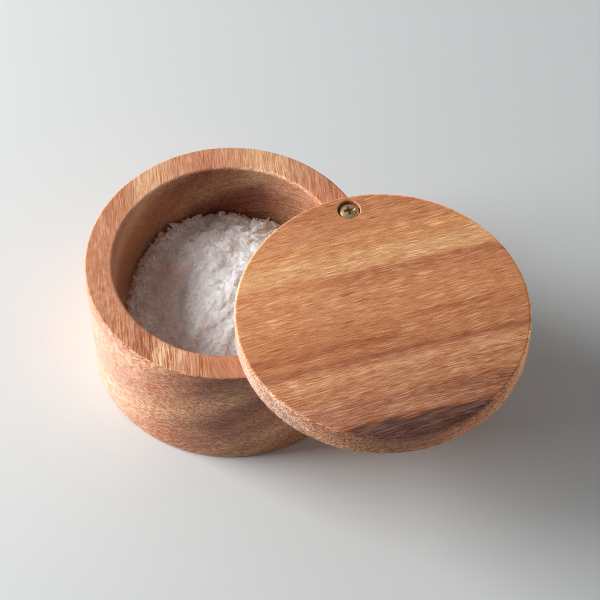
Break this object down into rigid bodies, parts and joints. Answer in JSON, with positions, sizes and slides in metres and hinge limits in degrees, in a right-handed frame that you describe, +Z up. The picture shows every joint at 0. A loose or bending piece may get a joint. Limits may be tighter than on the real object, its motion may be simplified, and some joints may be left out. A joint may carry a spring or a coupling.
{
  "type": "salt box",
  "caption": "Round turned-wood salt box with a flat lid that swivels sideways on a sunk brass screw, standing open over a heap of flaked salt.",
  "frame": {"origin": "centre of the base face, on the axis of the round box, at the height of the table", "axes": "+Z up along the box's axis, +Y from the box's axis towards the lid's pivot screw, +X to the side that the lid is swung to"},
  "size_m": [0.1469, 0.1446, 0.063],
  "materials": {
    "body_wood": "oiled, satin, open grain",
    "lid_wood": "oiled, satin, open grain with a dark heartwood streak",
    "screw_brass": "dull, darkened",
    "salt_flakes": "matte white translucent flakes"
  },
  "bodies": {
    "box": {"box_body": "body_wood", "pivot_screw": "screw_brass", "salt": "salt_flakes"},
    "lid": {"lid": "lid_wood"}
  },
  "joints": [
    {"name": "lid_swing", "type": "hinge", "parent": "box", "child": "lid", "pos_m": [0, 0.045, 0.052], "axis": [0, 0, 1], "range_deg": [-87, 93]}
  ]
}
